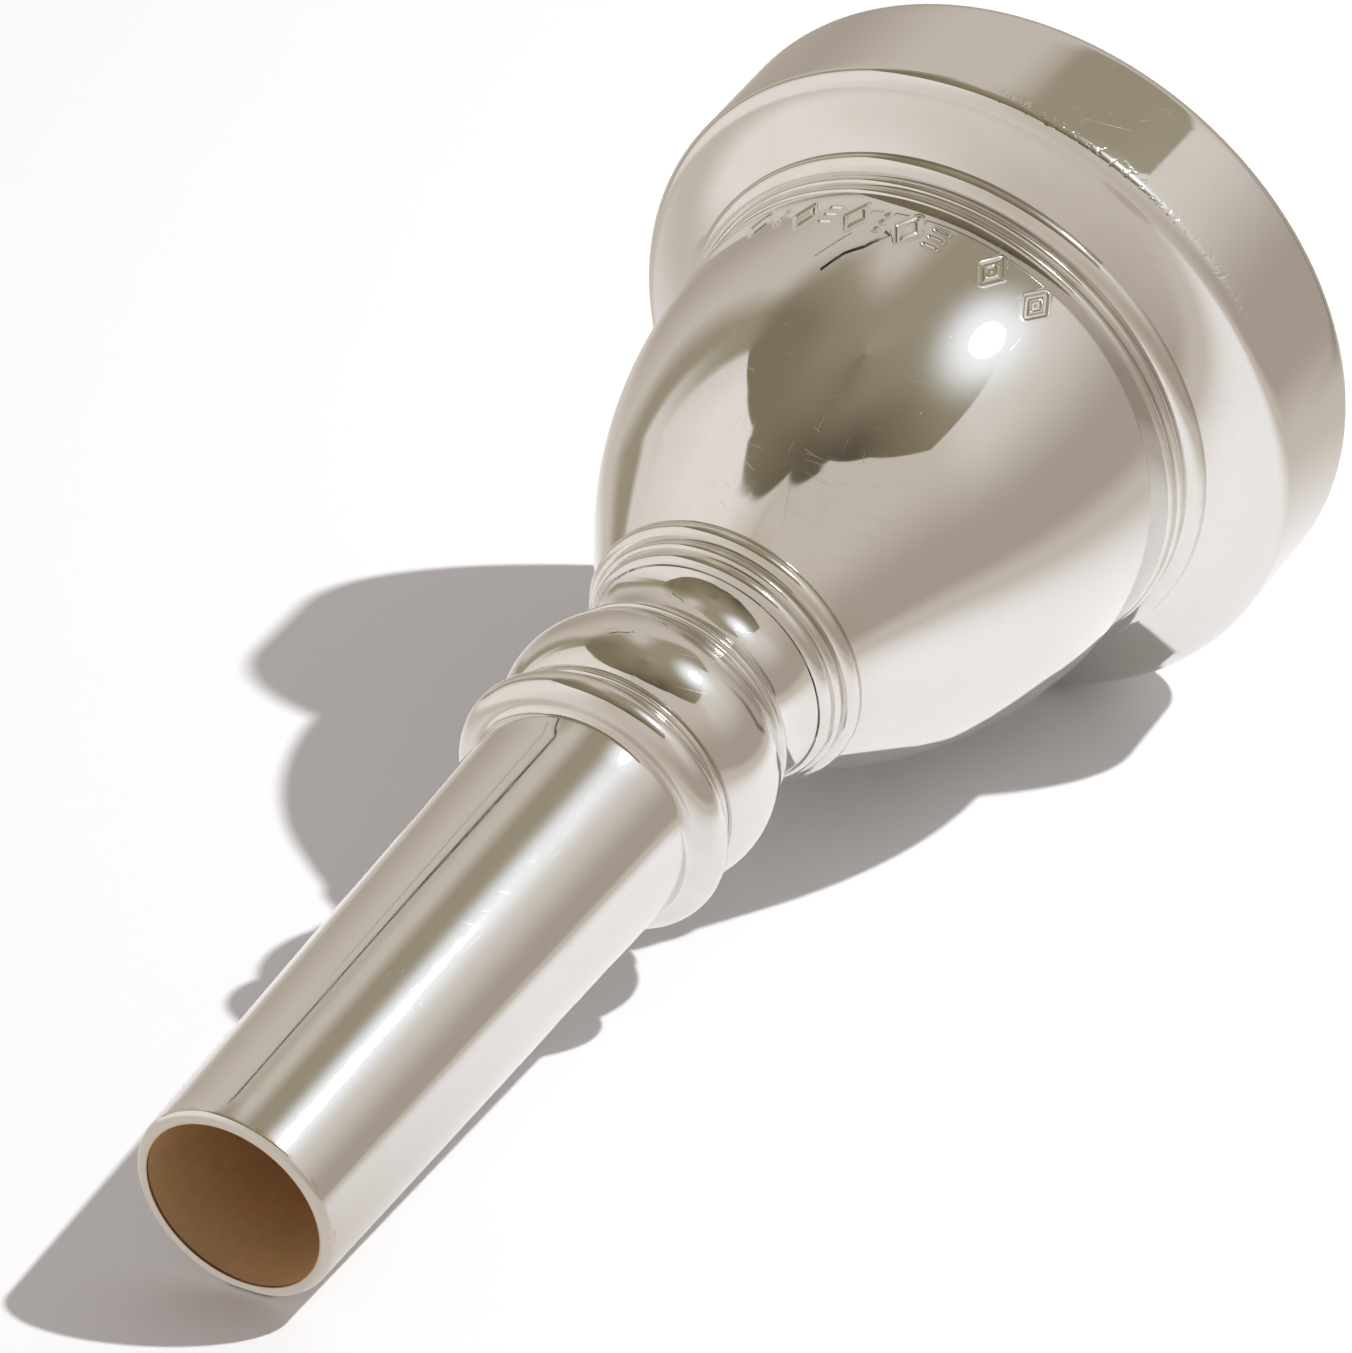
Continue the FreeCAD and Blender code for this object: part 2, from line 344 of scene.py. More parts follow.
@dataclass(frozen=True)
class Lathe:
    """Sweeps outlines round the mouthpiece's axis, at the place where the frame has it."""

    base: Vector
    tilt: float
    turns: int = 384
    fine_turn: float = 0.27
    crisp: float = 18.0

    @staticmethod
    def lying(sizes: MouthpieceSizes) -> "Lathe":
        """The lathe for the lying mouthpiece, set from the plate's box in the frame."""
        low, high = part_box("silver_plate")
        tilt = sizes.rest_tilt()
        across = sizes.shank_end - sizes.end_round
        up = across * math.cos(tilt) + sizes.end_round - sizes.end_round * math.sin(tilt)
        back = across * math.sin(tilt) + sizes.end_round - sizes.end_round * math.cos(tilt)
        base = Vector((low[0] + back * MM, (low[1] + high[1]) / 2, low[2] + up * MM))
        return Lathe(base, tilt)

    def axis(self) -> Vector:
        """The way of the mouthpiece's axis, from the shank's end towards the rim."""
        return Vector((math.cos(self.tilt), 0.0, math.sin(self.tilt)))

    def place(self) -> Matrix:
        """The matrix that takes a point on the lathe, in mm, to its place in the frame."""
        turn = Matrix.Rotation(-self.tilt, 4, "Y")
        return Matrix.Translation(self.base) @ turn @ Matrix.Scale(MM, 4)

    def angles(self, marks: StampedMarks | None) -> np.ndarray:
        """The angles of the sweep in degrees, closer together where there are marks."""
        if marks is None:
            return np.arange(self.turns) * (360.0 / self.turns)
        first, last = marks.angles()
        fine = np.arange(first, last, self.fine_turn)
        coarse = np.linspace(last, first + 360.0, self.turns, endpoint=False)
        return np.concatenate((fine, coarse))

    def sweep(self, name: str, loop: list[tuple[float, float]],
              marks: StampedMarks | None = None, marked: int = 0) -> bpy.types.Object:
        """Sweep a closed loop of outline points into a closed mesh.

        Args:
            name: The new object's name.
            loop: Points of the closed cross-section, along the axis and away from it, in mm.
            marks: Marks to sink into the surface.
            marked: How many of the loop's first points the marks may move.

        Returns:
            The new object, linked to the scene.
        """
        angles = self.angles(marks)
        outline = np.array(loop)
        turns, rings = len(angles), len(loop)
        along = np.tile(outline[:, 0], (turns, 1))
        away = np.tile(outline[:, 1], (turns, 1))
        turn = np.tile(angles[:, None], (1, rings))
        if marks:
            on_cup = (np.abs(along - marks.along) < marks.height) & (np.arange(rings) < marked)
            wide = np.where(turn > 180.0, turn - 360.0, turn)
            away[on_cup] -= marks.sunk(along[on_cup], wide[on_cup])
        turn = np.radians(turn)
        verts = np.stack((along, away * np.sin(turn), away * np.cos(turn)), axis=2).reshape(-1, 3)
        here = np.arange(turns)[:, None] * rings + np.arange(rings)
        after = np.arange(turns)[:, None] * rings + (np.arange(rings) + 1) % rings
        there, beyond = np.roll(here, -1, axis=0), np.roll(after, -1, axis=0)
        faces = np.stack((here, after, beyond, there), axis=2).reshape(-1, 4)
        mesh = bpy.data.meshes.new(name)
        mesh.from_pydata(verts, [], faces.tolist())
        mesh.transform(self.place())
        bm = bmesh.new()
        bm.from_mesh(mesh)
        bmesh.ops.recalc_face_normals(bm, faces=bm.faces)
        bm.to_mesh(mesh)
        bm.free()
        mesh.shade_smooth()
        self._crease(mesh, outline)
        return in_scene(name, mesh)

    def _crease(self, mesh: bpy.types.Mesh, outline: np.ndarray) -> None:
        """Keep the edges crisp that run round the axis where the outline has a corner.

        Args:
            mesh: The swept mesh, whose points come outline by outline.
            outline: The closed outline's points.
        """
        runs = np.roll(outline, -1, axis=0) - outline
        way = np.degrees(np.arctan2(runs[:, 1], runs[:, 0]))
        bend = np.abs((way - np.roll(way, 1) + 180.0) % 360.0 - 180.0)
        ends = np.zeros(len(mesh.edges) * 2, dtype=np.int64)
        mesh.edges.foreach_get("vertices", ends)
        ring = ends.reshape(-1, 2) % len(outline)
        crisp = (ring[:, 0] == ring[:, 1]) & (bend[ring[:, 0]] > self.crisp)
        creases = mesh.attributes.new("sharp_edge", "BOOLEAN", "EDGE")
        creases.data.foreach_set("value", crisp)


@dataclass
class SilverPlate:
    """The silver plate: the whole outside, the rim and the cup's inside."""

    sizes: MouthpieceSizes
    lathe: Lathe
    finish: "PolishedSilver"
    marks: StampedMarks = StampedMarks()

    def build(self) -> bpy.types.Object:
        """Sweep the plate as a thin closed shell and dress it.

        Returns:
            The finished piece.
        """
        skin = self.sizes.plated(marked=True).points
        under = inset(self.sizes.plated().points, self.sizes.plate)
        piece = self.lathe.sweep("silver_plating", skin + under[::-1], self.marks, len(skin))
        piece.data.materials.append(self.finish.material())
        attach(piece, "root")
        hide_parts("silver_plate")
        return piece


@dataclass
class BrassBody:
    """The turned brass under the plate, bare in the throat and the backbore."""

    sizes: MouthpieceSizes
    lathe: Lathe
    finish: "BareBrass"
    gap: float = 0.1

    def build(self) -> bpy.types.Object:
        """Sweep the brass and dress it.

        Returns:
            The finished piece.
        """
        sizes = self.sizes
        wall = inset(sizes.plated().points, sizes.plate + self.gap)
        throat = sizes.plated().along
        bore = TurnedOutline(throat, sizes.throat)
        bore.go(-sizes.throat_length, sizes.throat, cuts=6)
        bore.go(sizes.bore_land - bore.along, sizes.bore_end, cuts=40)
        bore.go(wall[0][0] - sizes.bore_land, sizes.bore_end)
        loop = wall[1:-1] + [(throat, wall[-1][1])] + bore.points
        piece = self.lathe.sweep("brass_blank", loop)
        piece.data.materials.append(self.finish.material())
        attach(piece, "root")
        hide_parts("brass_body")
        return piece


def inset(points: list[tuple[float, float]], depth: float) -> list[tuple[float, float]]:
    """Move an open outline into the metal, to the right of its way, by an even depth.

    Args:
        points: The outline's points.
        depth: How far to move it, in mm.

    Returns:
        The moved points, one for each point given.
    """
    moved = []
    for number, (along, radius) in enumerate(points):
        normals = []
        for first, second in ((number - 1, number), (number, number + 1)):
            if first >= 0 and second < len(points):
                run = Vector(points[second]) - Vector(points[first])
                normals.append(Vector((run.y, -run.x)).normalized())
        normal = sum(normals, Vector((0.0, 0.0))).normalized()
        reach = depth / max(0.6, normal.dot(normals[0]))
        moved.append((along + normal.x * reach, radius + normal.y * reach))
    return moved


@dataclass(frozen=True)
class ProductCamera:
    """A long lens that looks down at the shank's end from the left."""

    place: Vector = field(default_factory=lambda: Vector((-0.36898, -0.21580, 0.23957)))
    right: Vector = field(default_factory=lambda: Vector((0.5042, -0.8636, 0.0)))
    up: Vector = field(default_factory=lambda: Vector((0.3968, 0.2316, 0.8882)))
    lens: float = 207.7
    sensor: float = 36.0

    def build(self) -> bpy.types.Object:
        """Make the scene's camera and set it up.

        Returns:
            The camera.
        """
        data = bpy.data.cameras.new("product_camera")
        data.lens = self.lens
        data.sensor_width = self.sensor
        data.clip_start = 0.01
        data.clip_end = 20.0
        right = self.right.normalized()
        back = right.cross(self.up).normalized()
        up = back.cross(right)
        turn = Matrix((right, up, back)).transposed().to_4x4()
        camera = in_scene("product_camera", data)
        camera.matrix_world = Matrix.Translation(self.place) @ turn
        bpy.context.scene.camera = camera
        return camera


@dataclass(frozen=True)
class Nodes:
    """Short ways to add and join the nodes of one node tree."""

    tree: bpy.types.NodeTree

    def add(self, kind: str, **settings: object) -> bpy.types.Node:
        """Add a node.

        Args:
            kind: The node's type name, without its "ShaderNode" start.
            settings: Properties to set on it.

        Returns:
            The new node.
        """
        node = self.tree.nodes.new("ShaderNode" + kind)
        for name, value in settings.items():
            setattr(node, name, value)
        return node

    def join(self, source: object, socket: bpy.types.NodeSocket) -> None:
        """Feed a socket from another node's socket, or set it to a plain value."""
        if isinstance(source, bpy.types.NodeSocket):
            self.tree.links.new(source, socket)
        elif socket.type == "RGBA":
            socket.default_value = (*source[:3], 1.0)
        else:
            socket.default_value = source

    def math(self, operation: str, *values: object, clamp: bool = False) -> bpy.types.NodeSocket:
        """Work out a sum.

        Args:
            operation: The Math node's operation.
            values: Its inputs, each a number or a socket.
            clamp: Whether the result is kept between 0 and 1.

        Returns:
            The result's socket.
        """
        node = self.add("Math", operation=operation, use_clamp=clamp)
        for number, value in enumerate(values):
            self.join(value, node.inputs[number])
        return node.outputs[0]

    def vector(self, operation: str, *values: object, scale: float = 1.0) -> bpy.types.NodeSocket:
        """Work out a sum of vectors.

        Args:
            operation: The Vector Math node's operation.
            values: Its inputs, each a vector or a socket.
            scale: The number that a vector is scaled by.

        Returns:
            The result's socket, which is a number where the sum gives one.
        """
        node = self.add("VectorMath", operation=operation)
        for number, value in enumerate(values):
            self.join(value, node.inputs[number])
        if operation == "SCALE":
            node.inputs["Scale"].default_value = scale
        return node.outputs["Value" if operation in ("DOT_PRODUCT", "LENGTH") else "Vector"]

    def part(self, source: bpy.types.NodeSocket, axis: int) -> bpy.types.NodeSocket:
        """One of a vector's three numbers."""
        split = self.add("SeparateXYZ")
        self.join(source, split.inputs[0])
        return split.outputs[axis]

    def millimetres(self) -> bpy.types.NodeSocket:
        """The place of the point that is shaded, in mm."""
        return self.vector("SCALE", self.add("TexCoord").outputs["Object"], scale=1 / MM)

    def noise_line(self, place: bpy.types.NodeSocket, detail: float) -> bpy.types.NodeSocket:
        """Soft noise that changes with one number, 0 to 1."""
        node = self.add("TexNoise", noise_dimensions="1D")
        node.inputs["Scale"].default_value = 1.0
        node.inputs["Detail"].default_value = detail
        self.join(place, node.inputs["W"])
        return node.outputs[0]

    def bump(self, height: bpy.types.NodeSocket, strength: float, depth: float) -> bpy.types.NodeSocket:
        """The normal of a surface that is raised by a height, with the depth in mm."""
        node = self.add("Bump")
        node.inputs["Strength"].default_value = strength
        node.inputs["Distance"].default_value = depth * MM
        self.join(height, node.inputs["Height"])
        return node.outputs[0]

    def shine(self, colour: bpy.types.NodeSocket, cover: bpy.types.NodeSocket) -> None:
        """End a material with light of a colour, clear where there is no cover."""
        light = self.add("Emission")
        self.join(colour, light.inputs["Color"])
        join = self.add("MixShader")
        self.join(cover, join.inputs[0])
        self.join(self.add("BsdfTransparent").outputs[0], join.inputs[1])
        self.join(light.outputs[0], join.inputs[2])
        self.join(join.outputs[0], self.add("OutputMaterial").inputs[0])

    def noise(self, place: bpy.types.NodeSocket, scale: float, detail: float) -> bpy.types.NodeSocket:
        """Soft noise with a given scale and detail, 0 to 1."""
        node = self.add("TexNoise")
        node.inputs["Scale"].default_value = scale
        node.inputs["Detail"].default_value = detail
        self.join(place, node.inputs["Vector"])
        return node.outputs[0]

    def group(self, tree: bpy.types.NodeTree, **values: float) -> bpy.types.Node:
        """Place a shared group and give it its own values."""
        node = self.add("Group", node_tree=tree)
        for name, value in values.items():
            node.inputs[name].default_value = value
        return node

    def spread(self, value: object, low: float, high: float, to_low: float = 0.0,
               to_high: float = 1.0, smooth: bool = True) -> bpy.types.NodeSocket:
        """Map a value's range to another one, and hold it at the ends.

        Args:
            value: The value to map.
            low: The start of its range.
            high: The end of its range.
            to_low: What the start becomes.
            to_high: What the end becomes.
            smooth: Whether the change eases in and out.

        Returns:
            The mapped value's socket.
        """
        kind = "SMOOTHSTEP" if smooth else "LINEAR"
        node = self.add("MapRange", interpolation_type=kind)
        for number, each in enumerate((value, low, high, to_low, to_high)):
            self.join(each, node.inputs[number])
        return node.outputs[0]

    def mix(self, amount: object, first: object, second: object,
            blend: str = "MIX") -> bpy.types.NodeSocket:
        """Blend two colours.

        Args:
            amount: How much of the second colour, 0 to 1.
            first: The first colour.
            second: The second colour.
            blend: The way of blending.

        Returns:
            The blended colour's socket.
        """
        node = self.add("Mix", data_type="RGBA", blend_type=blend)
        for number, each in ((0, amount), (6, first), (7, second)):
            self.join(each, node.inputs[number])
        return node.outputs[2]

    def ramp(self, position: object, stops: list[tuple[float, tuple[float, ...]]],
             low: float, high: float) -> bpy.types.NodeSocket:
        """A colour that changes with a position.

        Args:
            position: The position's socket, 0 to 1.
            stops: The colours, each with its place between low and high.
            low: The place at position 0.
            high: The place at position 1.

        Returns:
            The colour's socket.
        """
        node = self.add("ValToRGB")
        self.join(position, node.inputs[0])
        ramp = node.color_ramp
        while len(ramp.elements) > 1:
            ramp.elements.remove(ramp.elements[-1])
        for number, (place, colour) in enumerate(stops):
            spot = (place - low) / (high - low)
            element = ramp.elements[0] if number == 0 else ramp.elements.new(spot)
            element.position = spot
            element.color = (*colour, 1.0)
        return node.outputs[0]


def new_material(name: str) -> tuple[bpy.types.Material, Nodes, bpy.types.Node]:
    """Start a material, and give it back with its nodes and its shader."""
    material = bpy.data.materials.new(name)
    material.use_nodes = True
    return material, Nodes(material.node_tree), material.node_tree.nodes["Principled BSDF"]


def in_scene(name: str, data: bpy.types.ID) -> bpy.types.Object:
    """Make an object of a mesh, curve, lamp or camera, and link it to the scene."""
    thing = bpy.data.objects.new(name, data)
    bpy.context.scene.collection.objects.link(thing)
    return thing


def shown(red: int, green: int, blue: int, share: float = 1.0) -> tuple[float, float, float]:
    """The linear colour of a screen colour, brightened for a mirror that gives back only a share.

    Args:
        red: Red, 0 to 255.
        green: Green, 0 to 255.
        blue: Blue, 0 to 255.
        share: The mirror's share.

    Returns:
        The linear colour.
    """
    parts = []
    for level in (red, green, blue):
        value = level / 255
        linear = value / 12.92 if value <= 0.04045 else ((value + 0.055) / 1.055) ** 2.4
        parts.append(linear / share)
    return tuple(parts)


class SharedGroups:
    """The shader node groups that both finishes use, each made once."""

    @staticmethod
    def _start(name: str, takes: tuple[tuple[str, float], ...],
               gives: tuple[str, ...]) -> tuple[Nodes, bpy.types.Node, bpy.types.Node]:
        """Open a new group.

        Args:
            name: The group's name.
            takes: The name and the first value of each number that goes in.
            gives: The names of the values that come out.

        Returns:
            Its nodes, its input node and its output node.
        """
        tree = bpy.data.node_groups.new(name, "ShaderNodeTree")
        for title, value in takes:
            socket = tree.interface.new_socket(title, in_out="INPUT", socket_type="NodeSocketFloat")
            socket.default_value = value
        for title in gives:
            tree.interface.new_socket(title, in_out="OUTPUT", socket_type="NodeSocketFloat")
        return Nodes(tree), tree.nodes.new("NodeGroupInput"), tree.nodes.new("NodeGroupOutput")

    @staticmethod
    def lathe_place(lathe: Lathe) -> bpy.types.NodeTree:
        """Where a point lies on the turned shape: along the axis, away from it and round it.

        Args:
            lathe: The lathe that holds the axis.

        Returns:
            The group. Along and Away are in mm, Angle is in degrees from straight up.
        """
        name = "lathe_place"
        if name in bpy.data.node_groups:
            return bpy.data.node_groups[name]
        nodes, _, out = SharedGroups._start(name, (), ("Along", "Away", "Angle"))
        spot = nodes.vector("SUBTRACT", nodes.add("TexCoord").outputs["Object"], lathe.base)
        spot = nodes.vector("SCALE", spot, scale=1 / MM)
        axis = lathe.axis()
        upright = Vector((-axis.z, 0.0, axis.x))
        rise = nodes.vector("DOT_PRODUCT", spot, upright)
        aside = nodes.part(spot, 1)
        nodes.join(nodes.vector("DOT_PRODUCT", spot, axis), out.inputs["Along"])
        away = nodes.math("SQRT", nodes.math("ADD", nodes.math("MULTIPLY", rise, rise),
                                             nodes.math("MULTIPLY", aside, aside)))
        nodes.join(away, out.inputs["Away"])
        nodes.join(nodes.math("DEGREES", nodes.math("ARCTAN2", aside, rise)), out.inputs["Angle"])
        return nodes.tree

    @staticmethod
    def fine_scratches() -> bpy.types.NodeTree:
        """Short hairline scratches that lie every way, thin out in places and cross each other."""
        name = "fine_scratches"
        if name in bpy.data.node_groups:
            return bpy.data.node_groups[name]
        nodes, given, out = SharedGroups._start(
            name, (("Length", 3.0), ("Width", 0.06), ("Amount", 0.5)), ("Scratches",))
        spot = nodes.millimetres()
        total = None
        for lean, shift in ((8.0, 0.0), (63.0, 31.0), (118.0, 77.0), (158.0, 129.0)):
            turned = nodes.add("VectorRotate", rotation_type="AXIS_ANGLE")
            turned.inputs["Axis"].default_value = (0.35, -0.75, 0.56)
            turned.inputs["Angle"].default_value = math.radians(lean)
            nodes.join(spot, turned.inputs["Vector"])
            squeeze = nodes.add("CombineXYZ")
            nodes.join(nodes.math("DIVIDE", 1.0, given.outputs["Length"]), squeeze.inputs[0])
            nodes.join(nodes.math("DIVIDE", 1.0, given.outputs["Width"]), squeeze.inputs[1])
            nodes.join(nodes.math("DIVIDE", 0.25, given.outputs["Length"]), squeeze.inputs[2])
            drawn = nodes.vector("MULTIPLY", turned.outputs[0], squeeze.outputs[0])
            drawn = nodes.vector("ADD", drawn, (shift, shift * 0.7, -shift))
            start = nodes.math("SUBTRACT", 0.86, nodes.math("MULTIPLY", given.outputs["Amount"], 0.14))
            line = nodes.spread(nodes.math("SUBTRACT", nodes.noise(drawn, 1.0, 0.0), start), 0.0, 0.05)
            total = line if total is None else nodes.math("MAXIMUM", total, line)
        nodes.join(total, out.inputs["Scratches"])
        return nodes.tree

    @staticmethod
    def specks() -> bpy.types.NodeTree:
        """Small round specks, some cells of a loose pattern left empty."""
        name = "specks"
        if name in bpy.data.node_groups:
            return bpy.data.node_groups[name]
        nodes, given, out = SharedGroups._start(
            name, (("Spacing", 1.5), ("Size", 0.1), ("Amount", 0.4)), ("Specks",))
        spot = nodes.millimetres()
        cell = nodes.add("TexVoronoi")
        nodes.join(nodes.math("DIVIDE", 1.0, given.outputs["Spacing"]), cell.inputs["Scale"])
        nodes.join(spot, cell.inputs["Vector"])
        far = nodes.math("MULTIPLY", cell.outputs["Distance"], given.outputs["Spacing"])
        chance = nodes.part(cell.outputs["Color"], 0)
        chosen = nodes.math("LESS_THAN", chance, given.outputs["Amount"])
        round_spot = nodes.spread(nodes.math("DIVIDE", far, given.outputs["Size"]), 1.0, 0.55)
        nodes.join(nodes.math("MULTIPLY", round_spot, chosen), out.inputs["Specks"])
        return nodes.tree


@dataclass(frozen=True)
class PolishedSilver:
    """Polished silver plate: hairline scratches, a polishing haze and a little tarnish."""

    lathe: Lathe
    sizes: MouthpieceSizes = MouthpieceSizes()
    clean: tuple[float, float, float] = (0.745, 0.73, 0.712)
    tarnished: tuple[float, float, float] = (0.66, 0.6, 0.47)
    worn: tuple[float, float, float] = (0.72, 0.47, 0.27)
    dirt: tuple[float, float, float] = (0.12, 0.09, 0.06)
    polish: float = 0.03
    shank_polish: float = 0.055
    haze: float = 0.05
    tarnish_colour: float = 0.32
    tarnish_rough: float = 0.02
    scratch_rough: float = 0.12
    scratch_depth: float = 0.2
    speck_depth: float = 0.6
    dent_depth: float = 2.6
    relief: tuple[float, float] = (0.35, 0.02)
    grooves: tuple[tuple[float, float], ...] = (
        (0.0, 0.1), (38.6, 0.12), (39.6, 0.7), (42.4, 0.35), (42.9, 0.85), (43.6, 0.6), (46.0, 0.1),
        (49.4, 0.3), (50.2, 0.9), (51.1, 0.6), (53.2, 0.25), (55.0, 0.7), (56.4, 0.85), (58.2, 0.8),
        (59.4, 0.15), (83.2, 0.1), (83.9, 0.75), (85.4, 0.8), (86.6, 0.35), (88.6, 0.3), (90.0, 0.08),
        (96.0, 0.08), (97.2, 0.3), (99.0, 0.2))

    def material(self) -> bpy.types.Material:
        """Make the finish.

        Returns:
            The material.
        """
        material, nodes, shader = new_material("polished_silver")
        shader.inputs["Metallic"].default_value = 1.0
        place = nodes.group(SharedGroups.lathe_place(self.lathe))
        along, away, angle = (place.outputs[name] for name in ("Along", "Away", "Angle"))
        spot = nodes.millimetres()
        scratches = nodes.group(SharedGroups.fine_scratches(), Length=2.0, Width=0.045,
                                Amount=0.2).outputs[0]
        specks = nodes.group(SharedGroups.specks(), Spacing=1.7, Size=0.09, Amount=0.35).outputs[0]
        blotches = nodes.noise(spot, 0.09, 3.0)
        fog = nodes.noise(spot, 0.55, 5.0)

        # tarnish gathers in the grooves and in faint clouds
        stops = [(spot_along, (amount,) * 3) for spot_along, amount in self.grooves]
        groove = nodes.ramp(nodes.math("DIVIDE", along, 100.0), stops, 0.0, 100.0)
        cloud = nodes.spread(blotches, 0.45, 0.75)
        tarnish = nodes.math("ADD", nodes.math("MULTIPLY", groove, nodes.spread(fog, 0.3, 0.65)),
                             nodes.math("MULTIPLY", cloud, 0.22), clamp=True)
        colour = nodes.mix(nodes.math("MULTIPLY", tarnish, self.tarnish_colour), self.clean, self.tarnished)
        # the plate is worn thin round the bore's edge, and dirt dots the end of the shank
        edge = nodes.math("MULTIPLY", nodes.spread(away, self.sizes.bore_end + 0.16, self.sizes.bore_end),
                          nodes.spread(along, 1.0, 0.4))
        end_round = nodes.math("MULTIPLY", nodes.spread(along, 0.3, 0.42), nodes.spread(along, 0.62, 0.46))
        patchy = nodes.spread(nodes.noise(spot, 1.1, 2.0), 0.5, 0.6)
        edge = nodes.math("MAXIMUM", edge, nodes.math("MULTIPLY", end_round, patchy))
        colour = nodes.mix(nodes.math("MULTIPLY", edge, 0.6), colour, self.worn)
        dots = nodes.group(SharedGroups.specks(), Spacing=2.6, Size=0.2, Amount=0.3).outputs[0]
        dots = nodes.math("MULTIPLY", dots, nodes.spread(along, 1.4, 0.5))
        colour = nodes.mix(nodes.math("MULTIPLY", dots, 0.8), colour, self.dirt)
        nodes.join(colour, shader.inputs["Base Color"])

        # the shank is the least polished; hairlines and haze scatter a little more
        on_shank = nodes.spread(along, self.sizes.shank_length + 1.0, self.sizes.shank_length - 2.0)
        rough = nodes.math("ADD", self.polish, nodes.math("MULTIPLY", on_shank,
                                                          self.shank_polish - self.polish))
        rough = nodes.math("ADD", rough, nodes.math("MULTIPLY", nodes.spread(fog, 0.42, 0.8), self.haze))
        rough = nodes.math("ADD", rough, nodes.math("MULTIPLY", scratches, self.scratch_rough))
        rough = nodes.math("ADD", rough, nodes.math("MULTIPLY", tarnish, self.tarnish_rough))
        nodes.join(rough, shader.inputs["Roughness"])

        # hairlines and specks, then the small dents along the rim's lower corner
        corner = nodes.math("MULTIPLY", nodes.spread(along, 88.7, 89.1), nodes.spread(along, 90.2, 89.6))
        dents = nodes.spread(nodes.noise(spot, 2.4, 1.0), 0.52, 0.75)
        one_side = nodes.spread(nodes.math("ABSOLUTE", nodes.math("ADD", angle, 38.0)), 34.0, 18.0)
        dents = nodes.math("MULTIPLY", dents, nodes.math("MULTIPLY", corner, one_side))
        height = nodes.math("MULTIPLY", scratches, -self.scratch_depth)
        height = nodes.math("SUBTRACT", height, nodes.math("MULTIPLY", specks, self.speck_depth))
        height = nodes.math("SUBTRACT", height, nodes.math("MULTIPLY", dents, self.dent_depth))
        nodes.join(nodes.bump(height, *self.relief), shader.inputs["Normal"])
        return material


@dataclass(frozen=True)
class BareBrass:
    """Dull bare brass, browned in clouds, with the faint lines that the reamer left."""

    lathe: Lathe
    bright: tuple[float, float, float] = (0.88, 0.7, 0.42)
    brown: tuple[float, float, float] = (0.78, 0.55, 0.34)
    spotted: tuple[float, float, float] = (0.14, 0.08, 0.05)
    dull: float = 0.42
    metal: float = 0.75
    scratch_depth: float = 0.4
    relief: tuple[float, float] = (0.3, 0.03)

    def material(self) -> bpy.types.Material:
        """Make the finish.

        Returns:
            The material.
        """
        material, nodes, shader = new_material("bare_brass")
        shader.inputs["Metallic"].default_value = self.metal
        place = nodes.group(SharedGroups.lathe_place(self.lathe))
        spot = nodes.millimetres()
        scratches = nodes.group(SharedGroups.fine_scratches(), Length=5.0, Width=0.09,
                                Amount=0.55).outputs[0]
        specks = nodes.group(SharedGroups.specks(), Spacing=3.4, Size=0.24, Amount=0.22).outputs[0]
        clouds = nodes.noise(spot, 0.28, 4.0)
        rings = nodes.noise_line(nodes.math("MULTIPLY", place.outputs["Along"], 5.0), 3.0)
        streaks = nodes.noise_line(nodes.math("MULTIPLY", place.outputs["Angle"], 0.09), 2.0)
        browned = nodes.math("ADD", nodes.math("MULTIPLY", nodes.spread(clouds, 0.35, 0.68), 0.6),
                             nodes.math("MULTIPLY", nodes.spread(streaks, 0.4, 0.65), 0.4))
        colour = nodes.mix(browned, self.bright, self.brown)
        colour = nodes.mix(nodes.math("MULTIPLY", specks, 0.7), colour, self.spotted)
        nodes.join(colour, shader.inputs["Base Color"])
        rough = nodes.math("ADD", self.dull, nodes.math("MULTIPLY", browned, 0.12))
        rough = nodes.math("SUBTRACT", rough, nodes.math("MULTIPLY", scratches, 0.1))
        nodes.join(rough, shader.inputs["Roughness"])
        height = nodes.math("ADD", rings, nodes.math("MULTIPLY", scratches, -self.scratch_depth))
        nodes.join(nodes.bump(height, *self.relief), shader.inputs["Normal"])
        return material


class Paint(Enum):
    """The tent's few paints, as screen colours."""

    PAPER = (218, 214, 210)
    CREAM = (202, 197, 191)
    STONE = (187, 179, 170)
    CLAY = (160, 150, 140)
    OLIVE = (146, 138, 120)
    MOSS = (120, 111, 90)
    SHADE = (115, 105, 90)
    UMBER = (85, 77, 65)


